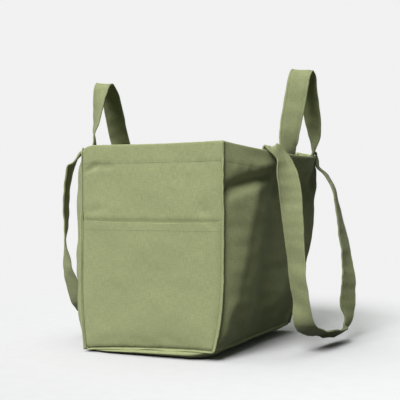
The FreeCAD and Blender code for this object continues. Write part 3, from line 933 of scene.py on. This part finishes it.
# A strap's loop from front to back: out from the corner line, along Y, height, and its outer face's facing.
STRAP_COURSE = {
    "right": [
        (62, -97, 318, (0.90, -0.40, 0.3)), (74, -96, 285, (0.62, -0.78, 0)),
        (82, -95, 225, (-0.02, -1.0, 0)), (87, -90, 150, (-0.36, -0.93, 0)),
        (92, -83, 88, (-0.36, -0.93, -0.1)), (94, -72, 52, (0.0, -0.80, -0.6)),
        (97, -44, 36, (0.20, -0.35, -0.92)), (103, 10, 28, (0.30, 0.0, -0.95)),
        (109, 52, 21, (0.45, 0.0, -0.89)), (114, 82, 22, (0.55, -0.25, -0.80)),
        (116, 99, 40, (0.76, -0.48, -0.44)), (116, 104, 66, (0.84, -0.54, 0)),
        (118, 103, 100, (0.90, -0.44, 0)), (115, 103, 150, (0.97, -0.18, 0)),
        (106, 102, 205, (0.99, -0.05, 0)), (97, 102, 248, (0.97, 0.14, 0.1)),
        (87, 103, 282, (0.86, 0.15, 0.48)), (75, 104, 298, (0.62, 0.1, 0.78)),
        (65, 104, 306, (0.50, 0.1, 0.86)), (60.6, 104, 312, (0.95, 0.15, 0.3)),
        (60.0, 104, 321, (0.98, 0.1, 0.15)),
    ],
    "left": [
        (71, -102, 314, (0.97, -0.25, 0.3)), (82, -101, 280, (0.96, -0.30, 0)),
        (88, -98, 225, (0.94, -0.34, 0)), (92, -93, 165, (0.76, -0.65, 0)),
        (87, -84, 105, (0.36, -0.93, 0)), (82, -50, 50, (0, -0.6, -0.8)),
        (84, 8, 34, (0, 0, -1.0)), (93, 60, 42, (0.1, 0.6, -0.8)),
        (102, 90, 84, (0.3, 0.95, 0)), (106, 98, 140, (0.45, 0.9, 0)),
        (104, 100, 200, (0.65, 0.76, 0)), (92, 101, 260, (0.88, 0.47, 0)),
        (76, 102, 312, (0.97, 0.25, 0.25)),
    ],
}


# Where a strap folds over the rim: out from the hinge, up, and its outer face's facing, as (outward, up).
STRAP_CREST = ((0.2, 1.2, -0.75, 0.66), (3.5, 4.0, -0.05, 1.0), (7.8, 1.0, 0.70, 0.70))
BACK_CREST = 0.72  # share of the crest's reach at the back leg


def strap_rows(side):
    sign = 1 if side == "right" else -1
    origin, way = hinge_line("strap", side)
    hanging = []
    for out, y, z, facing in STRAP_COURSE[side]:
        hanging.append([sign * (HALF_RIM_X + out), y, z, sign * facing[0], *facing[1:]])
    ends = []
    for y in leg_places("strap", side):
        rows = tab_rows(side, y)
        outward = rows[0][3:].copy()
        for row in rows:
            row[3:] *= -1
        hinge = origin + way * ((y - origin[1]) / way[1])
        reach = BACK_CREST if y > 0 else 1.0
        for out, up, face_out, face_up in STRAP_CREST:
            place = hinge + outward * out * reach + (0, 0, up)
            rows.append(np.concatenate([place, outward * face_out + (0, 0, face_up)]))
        ends.append(rows)
    return np.array(ends[0] + hanging + ends[1][::-1])


def wall_x_at(side, y, z):
    """Where a side wall's outer face lies, across the bag, at a place along it and a height."""
    v = (z - FOOT) / WALL
    for _ in range(3):
        u = np.clip(y / half_y(v), -0.999, 0.999)
        v = np.clip(v + (z - wall(side, u, v)[..., 2]) / WALL, 0.0, 1.0)
    return wall(side, u, v)[..., 0]


def press_ends(side, sections, centre, from_end):
    """Lay a band's sewn ends against the wall's folds and curve, easing off beyond the rim."""
    sections = sections.copy()
    half = len(sections) // 2
    pressed = TAB + 14
    for part in (slice(0, half), slice(half, None)):
        rows = np.arange(len(sections))[part][from_end[part] < pressed]
        normal = wall_normals(side, centre[rows[len(rows) // 2], 1] / HALF_RIM_Y, 0.99)
        across = sections[rows][..., 1] - centre[rows, 1][:, None]
        straight = -normal[1] / normal[0] * across
        here = wall_x_at(side, sections[rows][..., 1], sections[rows][..., 2])
        middle = wall_x_at(side, centre[rows, 1], centre[rows, 2])[:, None]
        ease = smoothstep((pressed - from_end[rows]) / 12)[:, None]
        sections[rows, :, 0] += (here - middle - straight) * ease
    return sections


def make_topstitching(name, body, sections, follow):
    """A row of stitches along each edge of both faces. follow: how far each section would move with the body;
    the weights read from it are not used.
    """
    loop = sections.shape[1]
    last = len(BAND_STATIONS) - 1
    rows, weights = [], []
    for k in (TOPSTITCHED, last - TOPSTITCHED, loop - TOPSTITCHED, last + TOPSTITCHED):
        line = sections[:, k]
        face = unit(line - sections[:, (loop - k) % loop])
        row = stitch_row(line + face * 0.1, face)
        rows.append(row)
        length = run_along(line)
        at = (np.arange(len(row[0])) + 0.5) * length[-1] / len(row[0])
        weights.append(np.interp(at, length, follow))
    seam = stitches(f"{name}_topstitches", rows, settled=False)
    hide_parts(f"{body}_stitching")
    bend_piece(seam)


def make_end_stitching(name, body, sections, run):
    """The rows of stitches across each sewn end, near its bottom and just under the rim."""
    loop = sections.shape[1]
    face_count = len(BAND_STATIONS)
    middle = face_count // 2
    rows = []
    for piece, length in ((sections, run), (sections[::-1], run[-1] - run[::-1])):
        for from_bottom in (4.0, TAB - 6.0):
            k = int(np.searchsorted(length, from_bottom))
            line = piece[k, face_count + 2:loop - 2]
            face = -unit(piece[k, middle] - piece[k, loop - middle])
            rows.append(stitch_row(line + face * 0.12, np.tile(face, (len(line), 1))))
    seam = stitches(f"{name}_end_stitches", rows, settled=False, radius=0.5)
    dress_bag(seam, f"{body}_end_stitching")


def make_band(kind, side, rows, count, seed, cup=None, gather=0.0):
    """A handle or strap with its sewn ends in one piece."""
    body, name = f"{kind}_{side}", f"{side}_{kind}_band"
    path = smooth_path(rows, count)
    sections, across, run = band_sections(path, cup, seed, gather)
    from_end = np.minimum(run, run[-1] - run)
    sections = press_ends(side, sections, path[:, :3], from_end)
    band = swept_tube(name, sections, BAND_CANVAS, across, settled=False)
    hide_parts(body, f"{body}_sewn_ends")
    past_rim, bend_length = (2.0, 16.0) if kind == "handle" else (1.0, 18.0)
    follow = smoothstep((from_end - TAB - past_rim) / bend_length)
    bend_piece(band)
    make_topstitching(name, body, sections, follow)
    make_end_stitching(name, body, sections, run)


def strap_cup(t):
    """How much a strap is cupped along its length: most where it hangs from its front end."""
    return 3.5 * hump(t - 0.14, 0.05) + 1.0 * np.sin(9 * math.pi * t)


def make_handles_and_straps():
    for side, seed, gather in (("right", 200, 0.34), ("left", 300, 0.0)):
        make_band("handle", side, handle_rows(side), 190, seed)
        make_band("strap", side, strap_rows(side), 330, seed + 50, cup=strap_cup, gather=gather)


# ---------------------------------------------------------------- studio

# Name, strength, angular size, colour, casts shadows, azimuth from the front, elevation. The back fill only
# keeps the far sides readable.
LIGHTS = [
    ("key", 3.65, 28, (1.0, 1.0, 0.99), True, -2.0, 36.0),
    ("overhead", 2.4, 75, (0.97, 1.0, 0.95), True, -70.0, 72.0),
    ("back_fill", 0.5, 60, (0.92, 1.0, 0.85), False, 180.0, 25.0),
]
AMBIENT, FILL_TINT = 0.10, (0.75, 0.885, 0.69, 1)
FLOOR_TONE, FLOOR_BOUNCE = 0.53, 0.14
FAR_FLOOR_GLOW = 0.10  # the far floor, as the bag sees it
LENS = 76.5
CAMERA_AWAY, CAMERA_LEFT, CAMERA_BELOW = 1.293, 0.0342, 0.0897  # of the rim's front right corner, in metres
CAMERA_AZIMUTH = math.radians(25)
CAMERA_TURN = Vector((math.sin(CAMERA_AZIMUTH), -math.cos(CAMERA_AZIMUTH), 0))
CAMERA_RIGHT = Vector((math.cos(CAMERA_AZIMUTH), math.sin(CAMERA_AZIMUTH), 0))


def make_camera():
    """Level, at three quarters of the rim's height, looking past the front right corner."""
    data = bpy.data.cameras.new("camera")
    data.lens = LENS
    data.clip_end = 50
    camera = placed("camera", data)
    corner = Vector((HALF_RIM_X, -HALF_RIM_Y, RIM)) * MM
    place = corner + CAMERA_TURN * CAMERA_AWAY - CAMERA_RIGHT * CAMERA_LEFT
    place.z = corner.z - CAMERA_BELOW
    camera.location = place
    camera.rotation_euler = (math.pi / 2, 0, CAMERA_AZIMUTH)
    bpy.context.scene.camera = camera


def make_studio():
    bright = (0.885, 0.885, 0.885, 1)
    n = Nodes(bpy.data.materials.new("pale_floor"))
    place = n.add("ShaderNodeTexCoord").outputs["Object"]
    away = n.add("ShaderNodeVectorMath", {0: place}, operation="LENGTH").outputs["Value"]
    seen = n.add("ShaderNodeLightPath").outputs["Is Camera Ray"]
    fine = n.ramp(n.noise(place, 40.0, 4.0), 0.3, 0.7, 0.985, 1.015)
    tone = n.math("MULTIPLY", n.ramp(seen, 0, 1, FLOOR_BOUNCE, FLOOR_TONE), fine)
    red, blue = n.math("MULTIPLY", tone, 1.012), n.math("MULTIPLY", tone, 1.04)
    colour = n.add("ShaderNodeCombineColor", {0: red, 1: tone, 2: blue}).outputs[0]
    diffuse = n.add("ShaderNodeBsdfDiffuse", {"Color": colour, "Roughness": 0.5})
    glow = n.add("ShaderNodeEmission", {"Color": bright, "Strength": n.ramp(seen, 0, 1, FAR_FLOOR_GLOW, 1.0)})
    far = n.ramp(away, 0.50, 0.95)
    blend = n.add("ShaderNodeMixShader", {0: far, 1: diffuse.outputs[0], 2: glow.outputs[0]})
    n.feed(n.tree.nodes["Material Output"].inputs["Surface"], blend.outputs[0])
    size = 12.0
    corners = [(-size, -size, 0), (size, -size, 0), (size, size, 0), (-size, size, 0)]
    mesh = bpy.data.meshes.new("floor")
    mesh.from_pydata(corners, [], [(0, 1, 2, 3)])
    mesh.materials.append(n.owner)
    placed("floor", mesh)

    world = bpy.data.worlds.new("studio")
    bpy.context.scene.world = world
    n = Nodes(world)
    background = n.tree.nodes["Background"].inputs
    seen = n.add("ShaderNodeLightPath").outputs["Is Camera Ray"]
    n.feed(background["Color"], n.mix(seen, FILL_TINT, bright))
    n.feed(background["Strength"], n.ramp(seen, 0, 1, AMBIENT, 1.0))

    for name, energy, angle, colour, shadows, azimuth, elevation in LIGHTS:
        data = bpy.data.lights.new(name, "SUN")
        data.energy, data.angle, data.color, data.use_shadow = energy, math.radians(angle), colour, shadows
        turn, lift = math.radians(azimuth), math.radians(elevation)
        way = Vector((math.sin(turn) * math.cos(lift), -math.cos(turn) * math.cos(lift), math.sin(lift)))
        placed(name, data).rotation_euler = way.to_track_quat("Z", "Y").to_euler()
    bpy.context.scene.view_settings.view_transform = "Standard"
    bpy.context.scene.view_settings.look = "None"


make_walls()
make_corners()
make_base()
make_pocket()
make_handles_and_straps()
make_studio()
make_camera()
